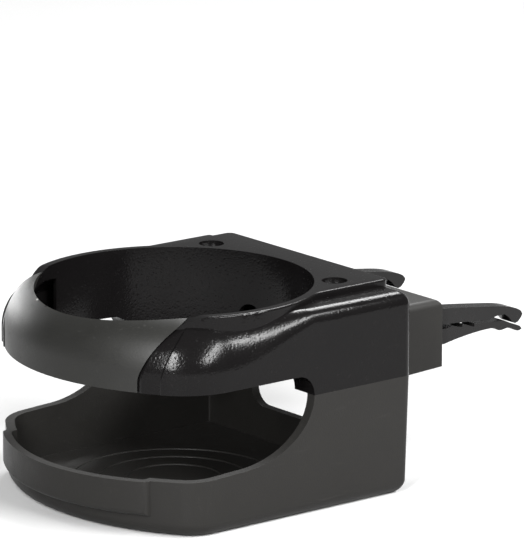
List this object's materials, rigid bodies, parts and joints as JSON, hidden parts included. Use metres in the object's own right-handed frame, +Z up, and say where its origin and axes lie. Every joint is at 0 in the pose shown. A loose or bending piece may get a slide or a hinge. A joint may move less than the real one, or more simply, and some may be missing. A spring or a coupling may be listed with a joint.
{
  "type": "air-vent drink holder",
  "caption": "Drink holder that clips to air-vent blades: tray and ring for a can or cup, a sprung sliding front bow, and two sprung clips at the back.",
  "frame": {"origin": "centre of the cup seat, on its top face", "axes": "+Z up along the cup's axis, +Y to the vent clips, +X to the side"},
  "size_m": [0.08, 0.1323, 0.053],
  "materials": {
    "satin_black": "satin black, fine grain",
    "bow_matt": "matt black, soft",
    "charcoal_matt": "matt charcoal",
    "clip_black": "satin black",
    "steel": "zinc-plated"
  },
  "bodies": {
    "holder": {"upper_housing": "satin_black", "lower_tray": "charcoal_matt", "mount_block": "charcoal_matt", "clip_carrier": "charcoal_matt", "housing_screws": "steel", "mount_screws": "steel", "left_arm_cover": "satin_black", "left_bow_spring": "steel", "left_clip_hook": "clip_black", "left_tongue_pin": "steel", "left_tongue_spring": "steel", "right_arm_cover": "satin_black", "right_bow_spring": "steel", "right_clip_hook": "clip_black", "right_tongue_pin": "steel", "right_tongue_spring": "steel"},
    "bow": {"bow_cover": "bow_matt", "bow_frame": "satin_black"},
    "left_tongue": {"left_clip_tongue": "clip_black"},
    "right_tongue": {"right_clip_tongue": "clip_black"}
  },
  "joints": [
    {"name": "bow_slide", "type": "slide", "parent": "holder", "child": "bow", "axis": [0, -1, 0], "range_m": [0, 0.004], "stiffness_N_per_m": 120, "springref_m": -0.006, "deforming": ["left_bow_spring", "right_bow_spring"]},
    {"name": "left_tongue_hinge", "type": "hinge", "parent": "holder", "child": "left_tongue", "pos_m": [-0.0229, 0.0596, 0.0314], "axis": [-1, 0, 0], "range_deg": [0, 8], "stiffness_Nm_per_rad": 0.02, "springref_deg": -22.92, "deforming": ["left_tongue_spring"]},
    {"name": "right_tongue_hinge", "type": "hinge", "parent": "holder", "child": "right_tongue", "pos_m": [0.0229, 0.0596, 0.0314], "axis": [-1, 0, 0], "range_deg": [0, 8], "stiffness_Nm_per_rad": 0.02, "springref_deg": -22.92, "deforming": ["right_tongue_spring"]}
  ]
}
